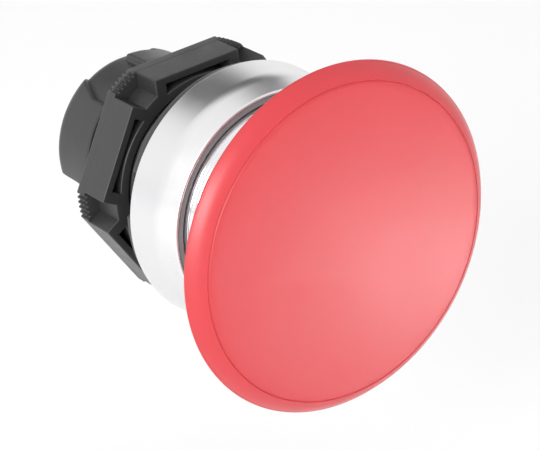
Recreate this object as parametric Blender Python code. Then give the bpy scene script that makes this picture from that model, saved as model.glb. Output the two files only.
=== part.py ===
"""Push-pull emergency stop head for a round panel cut-out.

Frame: metres. The button's axis is Y, its front faces -Y and +Z is up. The origin is where the axis
meets the panel plane, which is the rear face of the panel seal. "Reach" is a distance in front of
the panel plane, so y = -reach. Angles are measured from +X towards +Z, as seen from the front.
The button stands pulled out. Pushing it moves the cap, sleeve, stem and pusher towards +Y.
"""
import math

import bmesh
import bpy
from mathutils import Matrix

# ---------------------------------------------------------------- clearances
SEAT_GAP = 0.0003  # between faces that rest on each other
RUN_GAP = 0.0002  # around pieces that slide or turn
TRAVEL = 0.0045  # push from pulled out to latched

# ---------------------------------------------------------------- housing: threaded barrel
BARREL_RADIUS = 0.01095  # crest of the panel thread
REAR_STEP = 0.00025  # the plain rear barrel is smaller than the thread by this
BARREL_WALL = 0.0025  # of the rear barrel, around its socket
BARREL_LENGTH = 0.0221  # behind the panel plane
THREAD_LENGTH = 0.0114
NECK_LENGTH = 0.0031  # between the thread and the rear barrel
NECK_DEPTH = 0.0009  # below the rear barrel
BARREL_END_ROUND = 0.0016  # along the axis
BARREL_END_LAND = 0.0004  # flat ring between the end's round and the socket's chamfer
SOCKET_CHAMFER = 0.0005
TUBE_STEP = 0.00065  # the front tube's radius over the barrel's
TUBE_WALL = 0.0027
FLANGE_WIDTH = 0.00305
FLANGE_THICKNESS = 0.0018
WEB_REACH = -0.0030  # front face of the web that carries the stem's bearing
WEB_THICKNESS = 0.0025

# Bayonet recesses for a contact block holder, two of them, half a turn apart
RECESS_DEPTH = 0.0008
RECESS_START = 98.0  # degrees
RECESS_MOUTH = 126.5  # degrees: open to the rear up to here
RECESS_END = 138.0  # degrees: the lead-in slopes from the mouth to here
RECESS_LEAD = 0.0047  # height of the lead-in over the barrel's end
RECESS_COUNT = 2
STEP_START = 76.0  # degrees: beside the recess the barrel's end is cut back from here
STEP_LENGTH = 0.0019
SLOT = (195.0, 279.0)  # degrees: slot through the rear barrel's wall, up to the second recess
SLOT_LENGTH = 0.0052

# ---------------------------------------------------------------- seal, bezel, wiper, sleeve
SEAL_THICKNESS = 0.0011
SEAL_INSET = 0.0005  # the seal's edge inside the bezel's
SEAL_NOTCH = (161.0, 180.0)  # degrees
SEAL_NOTCH_DEPTH = 0.0012
BEZEL_COVER = 0.0009  # length of sleeve inside the bezel when pulled out
BEZEL_WALL = 0.0010  # around the housing's flange
BEZEL_TAPER = 0.00015  # over the nearly straight rear half
BEZEL_SHOULDER = 0.0036  # the front half slopes from here, measured from the bezel's front
BEZEL_LIP = 0.0002
WIPER_WIDTH = 0.0006
WIPER_DEPTH = 0.0010
WIPER_SINK = 0.00015  # behind the bezel's lip
SLEEVE_WALL = 0.0008
SLEEVE_DISC = 0.0008

# ---------------------------------------------------------------- mushroom cap
CAP_RADIUS = 0.0200
CAP_REST_GAP = 0.0009  # left between cap and bezel when latched
CAP_NECK_STEP = 0.0011  # the neck's radius over the sleeve's
CAP_SKIRT_DEPTH = 0.0046  # from the cap's rear to the rim's rear edge
CAP_SKIRT_INSET = 0.0002
CAP_RIM_BACK = 0.0004  # from the skirt to the widest plane
CAP_RIM_FRONT = 0.00175  # from the widest plane to the crease
CAP_RIM_BULGE = 0.00012
CAP_DOME = 0.00085  # height of the face over the crease
CREASE_INSET = 0.0019
CREASE_DEPTH = 0.00012
CAP_FACE_WALL = 0.0025
CAP_POCKET_INSET = 0.0025
CAP_HUB_WALL = 0.0016

# ---------------------------------------------------------------- stem and what it carries
STEM_RADIUS = 0.0040
STEM_THREAD_STEP = 0.0007
SHOULDER_CLEARANCE = 0.0011  # around the shoulder and spring, in the front tube
SHOULDER_THICKNESS = 0.0015
INSERT_WALL = 0.0019
LOCK_WASHER_WIDTH = 0.0029
LOCK_WASHER_THICKNESS = 0.0006
GROOVE_DEPTH = 0.0009
STEM_TAIL = 0.0021  # stem behind its circlip
CIRCLIP_WIDTH = 0.0024
CIRCLIP_THICKNESS = 0.0007
PUSHER_HUB_WALL = 0.0013
PUSHER_HUB_DEPTH = 0.0015
PUSHER_CLEARANCE = 0.0006  # around the pusher, in the rear socket
PUSHER_THICKNESS = 0.0014
PUSHER_DISH = 0.0004  # the washer's seat behind the rim that presses the contacts
SCREW_RADIUS = 0.0015
SCREW_LENGTH = 0.0065
SCREW_HEAD_WIDTH = 0.0014
SCREW_HEAD_THICKNESS = 0.0014
SCREW_CROSS = (0.0036, 0.0007, 0.0008)  # length, width, depth
PUSHER_WASHER_WIDTH = 0.0020
PUSHER_WASHER_THICKNESS = 0.0005

# ---------------------------------------------------------------- bearing, seal, spring, latch
BUSH_WALL = 0.0010
BUSH_FLANGE = 0.0020
SEAL_RING_RADIUS = 0.00055  # section of the stem seal
SPRING_WASHER_THICKNESS = 0.0005
SPRING_WIRE_RADIUS = 0.0004
SPRING_TURNS = 4.5
LATCH_PLATE_THICKNESS = 0.0012
LATCH_WIRE_RADIUS = 0.0005
LATCH_MARGIN = 0.0006  # from the clip to the wall around it
RETAINER_THICKNESS = 0.0008
RETAINER_WIDTH = 0.0017
RETAINER_GROOVE = 0.0006

# ---------------------------------------------------------------- fixing nut
NUT_CLEARANCE = 0.0002
NUT_FRONT = -0.0047  # reach of the face that clamps the panel
NUT_DEPTH = 0.0055
NUT_FLANGE = 0.0016
NUT_SLEEVE_WALL = 0.00125
NUT_SLOT = 0.0004  # between the sleeve and the middle of a wall
NUT_WALL = 0.0009
NUT_RIB = 0.0014
NUT_POCKET_STEP = 0.0007  # the sleeve is thicker in the corner pockets
NUT_CORNER_STEP = 0.0013  # flange corners over the flats
NUT_TEETH = 5
NUT_TOOTH_DEPTH = 0.0004
NUT_WALL_SETBACK = 0.0004  # wall ends short of the flange's flats
NUT_TURN = 38.0  # degrees: direction of one flat

# ---------------------------------------------------------------- derived: radii
rear_radius = BARREL_RADIUS - REAR_STEP
neck_radius = rear_radius - NECK_DEPTH
socket_radius = rear_radius - BARREL_WALL
tube_radius = BARREL_RADIUS + TUBE_STEP
tube_bore = tube_radius - TUBE_WALL
flange_radius = BARREL_RADIUS + FLANGE_WIDTH
sleeve_inner = tube_radius + SEAT_GAP
sleeve_radius = sleeve_inner + SLEEVE_WALL
wiper_inner = sleeve_radius + RUN_GAP
wiper_radius = wiper_inner + WIPER_WIDTH
bezel_mouth = wiper_radius + RUN_GAP
bezel_recess = flange_radius + RUN_GAP
bezel_radius = bezel_recess + BEZEL_WALL
cap_neck = sleeve_radius + CAP_NECK_STEP
stem_hole = STEM_RADIUS + RUN_GAP
stem_thread = STEM_RADIUS - STEM_THREAD_STEP
thread_hole = stem_thread + SEAT_GAP
shoulder_radius = tube_bore - SHOULDER_CLEARANCE
groove_radius = STEM_RADIUS - GROOVE_DEPTH
insert_radius = thread_hole + INSERT_WALL
screw_hole = SCREW_RADIUS + SEAT_GAP

# ---------------------------------------------------------------- derived: reaches, front half
flange_rear = SEAL_THICKNESS + SEAT_GAP
flange_front = flange_rear + FLANGE_THICKNESS
sleeve_rear = flange_front + SEAT_GAP + TRAVEL
bezel_front = sleeve_rear + BEZEL_COVER
cap_rear = bezel_front + CAP_REST_GAP + TRAVEL
cap_skirt = cap_rear + CAP_SKIRT_DEPTH
cap_widest = cap_skirt + CAP_RIM_BACK
crease_reach = cap_widest + CAP_RIM_FRONT
cap_front = crease_reach + CAP_DOME
cap_ceiling = cap_front - CAP_FACE_WALL
disc_front = cap_rear - SEAT_GAP
disc_rear = disc_front - SLEEVE_DISC
tube_front = disc_rear - TRAVEL - SEAT_GAP
lock_washer_front = disc_rear - SEAT_GAP
shoulder_front = lock_washer_front - LOCK_WASHER_THICKNESS - SEAT_GAP
shoulder_rear = shoulder_front - SHOULDER_THICKNESS

# ---------------------------------------------------------------- derived: reaches, rear half
neck_rear = -THREAD_LENGTH - NECK_LENGTH
web_rear = WEB_REACH - WEB_THICKNESS
bush_front = WEB_REACH + SEAT_GAP + BUSH_FLANGE
spring_washer_front = bush_front + SEAT_GAP + SPRING_WASHER_THICKNESS
latch_seat_front = web_rear - SEAT_GAP
latch_plane = latch_seat_front - LATCH_PLATE_THICKNESS - SEAT_GAP - LATCH_WIRE_RADIUS
latch_cover_front = latch_plane - LATCH_WIRE_RADIUS - SEAT_GAP
latch_cover_rear = latch_cover_front - LATCH_PLATE_THICKNESS
retainer_front = latch_cover_rear - SEAT_GAP
circlip_front = latch_cover_rear - SEAT_GAP
circlip_rear = circlip_front - CIRCLIP_THICKNESS
stem_rear = circlip_rear - STEM_TAIL
pusher_front = stem_rear - SEAT_GAP
pusher_rear = pusher_front - PUSHER_THICKNESS
pusher_washer_front = pusher_rear + PUSHER_DISH - SEAT_GAP
screw_head_front = pusher_washer_front - PUSHER_WASHER_THICKNESS - SEAT_GAP

# ---------------------------------------------------------------- derived: nut
nut_bore = BARREL_RADIUS + NUT_CLEARANCE
nut_sleeve = nut_bore + NUT_SLEEVE_WALL
nut_flat = nut_sleeve + NUT_SLOT + NUT_WALL
nut_corner = nut_flat + NUT_CORNER_STEP
nut_rear = NUT_FRONT - NUT_DEPTH
nut_flange_front = nut_rear + NUT_FLANGE

FINE, MEDIUM, COARSE = 48, 32, 24  # steps around a turned piece


# ---------------------------------------------------------------- materials and objects
def material(name, color, roughness, metallic=0.0):
    """One Principled material."""
    made = bpy.data.materials.new(name)
    made.use_nodes = True
    made.diffuse_color = (*color, 1.0)
    shader = made.node_tree.nodes["Principled BSDF"]
    shader.inputs["Base Color"].default_value = (*color, 1.0)
    shader.inputs["Roughness"].default_value = roughness
    shader.inputs["Metallic"].default_value = metallic
    return made


def black_plastic(name):
    return material(name, (0.028, 0.028, 0.030), 0.45)


def pale_plastic(name):
    return material(name, (0.62, 0.60, 0.55), 0.40)


def rubber(name):
    return material(name, (0.020, 0.020, 0.022), 0.60)


def steel(name):
    return material(name, (0.55, 0.56, 0.58), 0.30, 1.0)


def chrome(name):
    return material(name, (0.78, 0.79, 0.81), 0.22, 1.0)


def brass(name):
    return material(name, (0.72, 0.52, 0.22), 0.30, 1.0)


def add_object(name, bm, finish, parent=None):
    """Turn a bmesh into a named object with its own material, shaded smooth."""
    mesh = bpy.data.meshes.new(name)
    bm.to_mesh(mesh)
    bm.free()
    mesh.shade_smooth()
    mesh.set_sharp_from_angle(angle=math.radians(35))
    return add_data(name, mesh, finish, parent)


def add_data(name, data, finish, parent=None):
    """Put mesh or curve data in the scene under a carriage, or by itself."""
    piece = bpy.data.objects.new(name, data)
    bpy.context.scene.collection.objects.link(piece)
    if finish:
        data.materials.append(finish)
    piece.parent = parent
    return piece


def carriage(name):
    """An empty on the button's axis that carries the pieces of one moving body."""
    empty = bpy.data.objects.new(name, None)
    empty.empty_display_size = 0.01
    bpy.context.scene.collection.objects.link(empty)
    return empty


def cut(target, cutter):
    """Cut a guide's shape out of a piece."""
    cutter.hide_render = True
    cutter.display_type = "WIRE"
    step = target.modifiers.new(cutter.name, "BOOLEAN")
    step.operation = "DIFFERENCE"
    step.solver = "EXACT"
    step.object = cutter


# ---------------------------------------------------------------- shape helpers
def polar(radius, degrees):
    """(x, z) of a point at an angle around the axis."""
    angle = math.radians(degrees)
    return radius * math.cos(angle), radius * math.sin(angle)


def arc(reach, radius, size, start, end, steps):
    """Outline points on a round: centre (reach, radius), angles in degrees from the front."""
    sweep = [math.radians(start + (end - start) * i / steps) for i in range(steps + 1)]
    return [(reach + size * math.cos(a), radius + size * math.sin(a)) for a in sweep]


def turned(name, outline, finish, parent=None, steps=MEDIUM):
    """Solid of revolution about Y from an outline of (reach, radius) points."""
    bm = bmesh.new()
    verts = [bm.verts.new((radius, -reach, 0.0)) for reach, radius in outline]
    edges = [bm.edges.new(pair) for pair in zip(verts, verts[1:])]
    if outline[0][1] > 0.0:
        edges.append(bm.edges.new((verts[-1], verts[0])))
    bmesh.ops.spin(
        bm, geom=verts + edges, cent=(0, 0, 0), axis=(0, 1, 0), angle=math.tau, steps=steps, use_merge=True
    )
    bmesh.ops.remove_doubles(bm, verts=bm.verts, dist=1e-6)
    bmesh.ops.recalc_face_normals(bm, faces=bm.faces)
    return add_object(name, bm, finish, parent)


def ring(name, inner, outer, front, thickness, finish, parent=None, steps=MEDIUM):
    """Plain washer."""
    rear = front - thickness
    outline = [(front, inner), (front, outer), (rear, outer), (rear, inner)]
    return turned(name, outline, finish, parent, steps)


def open_ring(name, inner, outer, front, thickness, gap, finish, parent=None):
    """Snap ring with a gap of the given degrees at its lowest point."""
    bm = bmesh.new()
    rear = front - thickness
    corners = ((inner, front), (outer, front), (outer, rear), (inner, rear))
    section = bm.faces.new([bm.verts.new((radius, -reach, 0.0)) for radius, reach in corners])
    turn = Matrix.Rotation(math.radians(90 - gap / 2), 4, "Y")
    bmesh.ops.transform(bm, matrix=turn, verts=bm.verts)
    bmesh.ops.spin(
        bm, geom=[section], cent=(0, 0, 0), axis=(0, 1, 0), angle=-math.radians(360 - gap), steps=MEDIUM
    )
    bmesh.ops.recalc_face_normals(bm, faces=bm.faces)
    return add_object(name, bm, finish, parent)


def prisms(name, outlines, rear, front, finish=None, parent=None):
    """Straight solids along Y from outlines of (x, z) points, all in one mesh."""
    bm = bmesh.new()
    for outline in outlines:
        near = [bm.verts.new((x, -front, z)) for x, z in outline]
        far = [bm.verts.new((x, -rear, z)) for x, z in outline]
        bm.faces.new(near)
        bm.faces.new(far[::-1])
        for i in range(len(outline)):
            j = (i + 1) % len(outline)
            bm.faces.new((near[j], near[i], far[i], far[j]))
    bmesh.ops.recalc_face_normals(bm, faces=bm.faces)
    return add_object(name, bm, finish, parent)


def wire(name, points, radius, finish, parent=None):
    """Round wire along a run of points, with closed ends."""
    curve = bpy.data.curves.new(name, "CURVE")
    curve.dimensions = "3D"
    curve.bevel_depth = radius
    curve.bevel_resolution = 1
    curve.use_fill_caps = True
    spline = curve.splines.new("POLY")
    spline.points.add(len(points) - 1)
    for target, point in zip(spline.points, points):
        target.co = (*point, 1.0)
    return add_data(name, curve, finish, parent)


# ---------------------------------------------------------------- moving cap
def mushroom_cap(parent):
    crease = CAP_RADIUS - CREASE_INSET
    dome_radius = (crease**2 + CAP_DOME**2) / (2 * CAP_DOME)
    dome_steps = 5
    face = []
    for i in range(dome_steps + 1):
        radius = crease * i / dome_steps
        face.append((cap_front - dome_radius + math.sqrt(dome_radius**2 - radius**2), radius))
    rim = []
    for i in range(1, 7):
        share = i / 6
        bulge = CAP_RIM_BULGE * math.sin(math.pi * share)
        rim.append((cap_widest + CAP_RIM_FRONT * (1 - share) + bulge, crease + CREASE_INSET * share + bulge))
    rim[-1] = (cap_widest, CAP_RADIUS)
    skirt = [(cap_skirt, CAP_RADIUS - CAP_SKIRT_INSET), (cap_rear, cap_neck)]
    pocket = cap_neck - CAP_POCKET_INSET
    hole = insert_radius + SEAT_GAP
    hub = hole + CAP_HUB_WALL
    inside = [
        (cap_rear, pocket),
        (cap_ceiling, pocket),
        (cap_ceiling, hub),
        (cap_rear, hub),
        (cap_rear, hole),
        (cap_ceiling, hole),
        (cap_ceiling, 0.0),
    ]
    groove = [(crease_reach - CREASE_DEPTH, crease + CREASE_DEPTH)]
    finish = material("cap_red", (0.68, 0.07, 0.09), 0.35)
    turned("mushroom_cap", face + groove + rim + skirt + inside, finish, parent, FINE)


def cap_insert(parent):
    front = cap_ceiling - SEAT_GAP
    rear = cap_rear + SEAT_GAP
    finish = brass("insert_brass")
    ring("cap_insert", thread_hole, insert_radius, front, front - rear, finish, parent, COARSE)


def collar_sleeve(parent):
    outline = [
        (disc_front, thread_hole),
        (disc_front, sleeve_radius),
        (sleeve_rear, sleeve_radius),
        (sleeve_rear, sleeve_inner),
        (disc_rear, sleeve_inner),
        (disc_rear, thread_hole),
    ]
    turned("collar_sleeve", outline, chrome("sleeve_chrome"), parent, FINE)


def lock_washer(parent):
    outer = thread_hole + LOCK_WASHER_WIDTH
    finish = steel("lock_washer_steel")
    ring("lock_washer", thread_hole, outer, lock_washer_front, LOCK_WASHER_THICKNESS, finish, parent, COARSE)


def plunger_stem(parent):
    """Rod with a threaded nose, a spring shoulder, two latch grooves and a circlip groove."""
    nose = cap_ceiling - 2 * SEAT_GAP
    half_latch = LATCH_WIRE_RADIUS + SEAT_GAP
    outline = [(nose, 0.0), (nose, stem_thread), (shoulder_front, stem_thread)]
    outline += [(shoulder_front, shoulder_radius), (shoulder_rear, shoulder_radius)]
    outline += [(shoulder_rear, STEM_RADIUS)]
    grooves = [
        (latch_plane + TRAVEL + half_latch, latch_plane + TRAVEL - half_latch),
        (latch_plane + half_latch, latch_plane - half_latch),
        (circlip_front + SEAT_GAP / 2, circlip_rear - SEAT_GAP / 2),
    ]
    for front, rear in grooves:
        outline += [(front, STEM_RADIUS), (front, groove_radius), (rear, groove_radius), (rear, STEM_RADIUS)]
    drilled = screw_head_front + SCREW_LENGTH + SEAT_GAP
    outline += [(stem_rear, STEM_RADIUS), (stem_rear, screw_hole), (drilled, screw_hole), (drilled, 0.0)]
    turned("plunger_stem", outline, steel("stem_steel"), parent, COARSE)


def stem_circlip(parent):
    inner = groove_radius + RUN_GAP
    outer = inner + CIRCLIP_WIDTH
    finish = steel("circlip_steel")
    open_ring("stem_circlip", inner, outer, circlip_front, CIRCLIP_THICKNESS, 60, finish, parent)


def pusher(parent):
    """Disc with a hub over the stem's end."""
    inner = STEM_RADIUS + RUN_GAP
    hub = inner + PUSHER_HUB_WALL
    rim = socket_radius - PUSHER_CLEARANCE
    hub_front = pusher_front + PUSHER_HUB_DEPTH
    dish = screw_hole + PUSHER_WASHER_WIDTH + RUN_GAP
    outline = [
        (pusher_front, screw_hole),
        (pusher_front, inner),
        (hub_front, inner),
        (hub_front, hub),
        (pusher_front, hub),
        (pusher_front, rim),
        (pusher_rear, rim),
        (pusher_rear, dish),
        (pusher_rear + PUSHER_DISH, dish),
        (pusher_rear + PUSHER_DISH, screw_hole),
    ]
    turned("pusher", outline, pale_plastic("pusher_plastic"), parent)


def pusher_washer(parent):
    outer = screw_hole + PUSHER_WASHER_WIDTH
    finish = steel("pusher_washer_steel")
    front = pusher_washer_front
    ring("pusher_washer", screw_hole, outer, front, PUSHER_WASHER_THICKNESS, finish, parent, COARSE)


def pusher_screw(parent):
    head = SCREW_RADIUS + SCREW_HEAD_WIDTH
    tip = screw_head_front + SCREW_LENGTH
    head_rear = screw_head_front - SCREW_HEAD_THICKNESS
    round_off = SCREW_HEAD_THICKNESS / 2
    outline = [(tip, 0.0), (tip, SCREW_RADIUS), (screw_head_front, SCREW_RADIUS), (screw_head_front, head)]
    outline += arc(head_rear + round_off, head - round_off, round_off, 90, 180, 3)
    outline += [(head_rear, 0.0)]
    screw = turned("pusher_screw", outline, steel("screw_steel"), parent, COARSE)
    length, width, depth = SCREW_CROSS
    x, z = length / 2, width / 2
    cross = [(x, -z), (x, z), (z, z), (z, x), (-z, x), (-z, z)]
    cross += [(-x, z), (-x, -z), (-z, -z), (-z, -x), (z, -x), (z, -z)]
    cut(screw, prisms("screw_cross", [cross], head_rear - depth, head_rear + depth, None, parent))


# ---------------------------------------------------------------- fixed head
def housing():
    """Threaded barrel with a front tube, a flange, a bearing web and a rear socket."""
    end = -BARREL_LENGTH
    outline = [
        (tube_front, tube_bore),
        (tube_front, tube_radius),
        (flange_front, tube_radius),
        (flange_front, flange_radius),
        (flange_rear, flange_radius),
        (flange_rear, BARREL_RADIUS),
        (-THREAD_LENGTH, BARREL_RADIUS),
        (-THREAD_LENGTH, neck_radius),
        (neck_rear, neck_radius),
        (neck_rear, rear_radius),
    ]
    round_width = rear_radius - socket_radius - SOCKET_CHAMFER - BARREL_END_LAND
    for i in range(6):
        lean = math.radians(18 * i)
        radius = rear_radius - round_width * (1 - math.cos(lean))
        outline.append((end + BARREL_END_ROUND * (1 - math.sin(lean)), radius))
    outline += [(end, socket_radius + SOCKET_CHAMFER), (end + SOCKET_CHAMFER, socket_radius)]
    groove_rear = retainer_front - RETAINER_THICKNESS - SEAT_GAP / 2
    groove_front = retainer_front + SEAT_GAP / 2
    groove = socket_radius + RETAINER_GROOVE
    outline += [(groove_rear, socket_radius), (groove_rear, groove)]
    outline += [(groove_front, groove), (groove_front, socket_radius)]
    web_hole = stem_hole + BUSH_WALL + RUN_GAP
    outline += [(web_rear, socket_radius), (web_rear, web_hole)]
    outline += [(WEB_REACH, web_hole), (WEB_REACH, tube_bore)]
    body = turned("housing", outline, black_plastic("housing_black"), None, FINE)
    open_end = end - 0.001
    neck = (neck_rear - THREAD_LENGTH) / 2
    last = end + RECESS_LEAD
    mouth = RECESS_MOUTH - RECESS_START
    recess = [(RECESS_START + mouth * i / 6, open_end, neck) for i in range(7)]
    recess += [(RECESS_MOUTH + 0.1, end, neck), (RECESS_END, last, neck), (RECESS_END + 0.4, last, neck)]
    step_sweep = RECESS_START + 1 - STEP_START
    step = [(STEP_START + step_sweep * i / 5, open_end, end + STEP_LENGTH) for i in range(6)]
    floor = rear_radius - RECESS_DEPTH
    for index in range(RECESS_COUNT):
        cut(body, curved_block(f"recess_guide_{index}", recess, floor, index * 360 / RECESS_COUNT))
    cut(body, curved_block("step_guide", step, floor))
    slot_sweep = SLOT[1] - SLOT[0]
    slot = [(SLOT[0] + slot_sweep * i / 12, open_end, end + SLOT_LENGTH) for i in range(13)]
    cut(body, curved_block("slot_guide", slot, socket_radius - 0.001))


def curved_block(name, columns, floor, turn=0.0):
    """Guide around the rear barrel, from the radius of its floor outwards: (degrees, rear, front) columns."""
    outside = BARREL_RADIUS + 0.001
    bm = bmesh.new()
    rows = []
    for degrees, rear, front in columns:
        near = polar(floor, degrees + turn)
        far = polar(outside, degrees + turn)
        corners = ((near, rear), (far, rear), (far, front), (near, front))
        rows.append([bm.verts.new((x, -reach, z)) for (x, z), reach in corners])
    for first, second in zip(rows, rows[1:]):
        for i in range(4):
            j = (i + 1) % 4
            bm.faces.new((first[i], first[j], second[j], second[i]))
    bm.faces.new(rows[0][::-1])
    bm.faces.new(rows[-1])
    bmesh.ops.recalc_face_normals(bm, faces=bm.faces)
    return add_object(name, bm, None)


def panel_seal():
    outer = bezel_radius - SEAL_INSET
    inner = BARREL_RADIUS + SEAT_GAP
    front = SEAL_THICKNESS
    seal = ring("panel_seal", inner, outer, front, SEAL_THICKNESS, rubber("seal_rubber"), None, FINE)
    start, end = SEAL_NOTCH
    floor = outer - SEAL_NOTCH_DEPTH
    angles = [start + (end - start) * i / 4 for i in range(5)]
    notch = [polar(floor, a) for a in angles] + [polar(outer + 0.002, a) for a in reversed(angles)]
    cut(seal, prisms("seal_notch_guide", [notch], -0.001, SEAL_THICKNESS + 0.001))


def bezel_ring():
    """Cup over the housing's flange, narrowing to a thin lip around the wiper."""
    step = flange_front + SEAT_GAP
    wiper_seat = bezel_front - WIPER_SINK - WIPER_DEPTH - SEAT_GAP
    lip_radius = bezel_mouth + BEZEL_LIP
    shoulder = bezel_front - BEZEL_SHOULDER
    body = bezel_radius - BEZEL_TAPER
    outline = [
        (flange_rear, bezel_radius),
        (shoulder - BEZEL_SHOULDER / 4, body),
        (shoulder + BEZEL_SHOULDER / 4, body - 2 * BEZEL_TAPER),
        (bezel_front - BEZEL_LIP, lip_radius),
        (bezel_front, bezel_mouth + BEZEL_LIP / 2),
        (bezel_front - BEZEL_LIP, bezel_mouth),
        (wiper_seat, bezel_mouth),
        (wiper_seat, wiper_inner + RUN_GAP),
        (step, wiper_inner + RUN_GAP),
        (step, bezel_recess),
        (flange_rear, bezel_recess),
    ]
    turned("bezel_ring", outline, chrome("bezel_chrome"), None, FINE)


def wiper_seal():
    front = bezel_front - WIPER_SINK
    ring("wiper_seal", wiper_inner, wiper_radius, front, WIPER_DEPTH, rubber("wiper_rubber"), None, FINE)


def guide_bush():
    """Flanged bearing in the housing's web, with a pocket in front for the stem seal."""
    flange = tube_bore - SEAT_GAP
    tube = stem_hole + BUSH_WALL
    pocket = stem_hole + 2 * SEAL_RING_RADIUS + 2 * RUN_GAP
    pocket_floor = bush_front - 2 * SEAL_RING_RADIUS - RUN_GAP
    outline = [
        (bush_front, pocket),
        (bush_front, flange),
        (WEB_REACH + SEAT_GAP, flange),
        (WEB_REACH + SEAT_GAP, tube),
        (web_rear + SEAT_GAP, tube),
        (web_rear + SEAT_GAP, stem_hole),
        (pocket_floor, stem_hole),
        (pocket_floor, pocket),
    ]
    turned("guide_bush", outline, pale_plastic("bush_plastic"))


def stem_seal():
    centre_radius = stem_hole + SEAL_RING_RADIUS
    centre = bush_front - SEAL_RING_RADIUS - RUN_GAP / 2
    outline = arc(centre, centre_radius, SEAL_RING_RADIUS, 0, 360, 8)[:-1]
    turned("stem_seal", outline, rubber("stem_seal_rubber"), None, COARSE)


def spring_washer():
    inner = stem_hole + RUN_GAP
    finish = steel("spring_washer_steel")
    ring("spring_washer", inner, shoulder_radius, spring_washer_front, SPRING_WASHER_THICKNESS, finish)


def return_spring():
    """Coil between the washer and the stem's shoulder, with flat end turns."""
    rear = spring_washer_front + SEAT_GAP + SPRING_WIRE_RADIUS
    front = shoulder_rear - SEAT_GAP - SPRING_WIRE_RADIUS
    radius = shoulder_radius - SEAT_GAP - SPRING_WIRE_RADIUS
    per_turn = 16
    count = round(SPRING_TURNS * per_turn)
    pitch = 2 * SPRING_WIRE_RADIUS + 0.00005
    points = []
    for i in range(count + 1):
        turns = i / per_turn
        closed = min(turns, 1.0) - min(SPRING_TURNS - turns, 1.0) + 1.0
        active = min(max(turns - 1.0, 0.0), SPRING_TURNS - 2.0) / (SPRING_TURNS - 2.0)
        reach = rear + pitch * closed + (front - rear - 2 * pitch) * active
        x, z = polar(radius, 360 * turns)
        points.append((x, -reach, z))
    wire("return_spring", points, SPRING_WIRE_RADIUS, steel("spring_steel"))


def latch_plates():
    """The two halves of the carrier that hold the latch clip across the stem."""
    inner = stem_hole + RUN_GAP
    outer = socket_radius - RUN_GAP
    for name, front in (("latch_seat", latch_seat_front), ("latch_cover", latch_cover_front)):
        ring(name, inner, outer, front, LATCH_PLATE_THICKNESS, pale_plastic(name + "_plastic"))


def latch_clip():
    """Hairpin of spring wire, its legs in the stem's groove."""
    spread = groove_radius + LATCH_WIRE_RADIUS + RUN_GAP
    reach_out = socket_radius - LATCH_MARGIN
    bend = reach_out - LATCH_WIRE_RADIUS - spread
    leg = math.sqrt(reach_out**2 - (spread + LATCH_WIRE_RADIUS) ** 2)
    points = [(spread, -latch_plane, -leg), (spread, -latch_plane, 0.0)]
    for i in range(13):
        x, z = polar(spread, 180 * i / 12)
        points.append((x, -latch_plane, bend + z))
    points += [(-spread, -latch_plane, 0.0), (-spread, -latch_plane, -leg)]
    wire("latch_clip", points, LATCH_WIRE_RADIUS, steel("latch_steel"))


def retaining_ring():
    outer = socket_radius + RETAINER_GROOVE - RUN_GAP
    inner = outer - RETAINER_WIDTH
    finish = steel("retainer_steel")
    open_ring("retaining_ring", inner, outer, retainer_front, RETAINER_THICKNESS, 40, finish)


# ---------------------------------------------------------------- fixing nut
def on_side(side, across, out):
    """(x, z) from a place along one of the nut's flats and a distance out from the axis."""
    along = math.radians(NUT_TURN + 60 * side)
    normal = (math.cos(along), math.sin(along))
    return normal[0] * out - normal[1] * across, normal[1] * out + normal[0] * across


def nut_outline():
    """Hexagon whose corners are cut round and toothed."""
    lean = math.degrees(math.acos(nut_flat / nut_corner))
    points = []
    for side in range(6):
        start = NUT_TURN + 60 * side + lean
        sweep = 60 - 2 * lean
        for i in range(2 * NUT_TEETH + 1):
            radius = nut_corner - (i % 2) * NUT_TOOTH_DEPTH
            points.append(polar(radius, start + sweep * i / (2 * NUT_TEETH)))
    return points


def nut_pocket(side):
    """Open pocket at the corner that follows one flat, out to beyond the nut."""
    across = math.sqrt(nut_corner**2 - nut_flat**2) - NUT_WALL_SETBACK
    floor = nut_sleeve + NUT_POCKET_STEP
    lean = math.degrees(math.asin(across / floor))
    start = NUT_TURN + 60 * side + lean
    sweep = 60 - 2 * lean
    outside = nut_corner + 0.005
    points = [polar(floor, start + sweep * i / 4) for i in range(4, -1, -1)]
    return points + [on_side(side, across, outside), on_side(side + 1, -across, outside)]


def nut_slot(side):
    """Narrow slot between a wall and the sleeve."""
    across = math.sqrt(nut_corner**2 - nut_flat**2) - NUT_WALL_SETBACK - NUT_RIB
    lean = math.degrees(math.asin(across / nut_sleeve))
    centre = NUT_TURN + 60 * side
    points = [polar(nut_sleeve, centre - lean + 2 * lean * i / 6) for i in range(6, -1, -1)]
    top = nut_flat - NUT_WALL
    return points + [on_side(side, -across, top), on_side(side, across, top)]


def fixing_nut(parent):
    blank = prisms("fixing_nut", [nut_outline()], nut_rear, NUT_FRONT, black_plastic("nut_black"), parent)
    hollows = [nut_pocket(side) for side in range(6)] + [nut_slot(side) for side in range(6)]
    cut(blank, prisms("nut_hollow_guide", hollows, nut_flange_front, NUT_FRONT + 0.001, None, parent))
    bore = [polar(nut_bore, 360 * i / FINE) for i in range(FINE)]
    cut(blank, prisms("nut_bore_guide", [bore], nut_rear - 0.001, NUT_FRONT + 0.002, None, parent))


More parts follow.
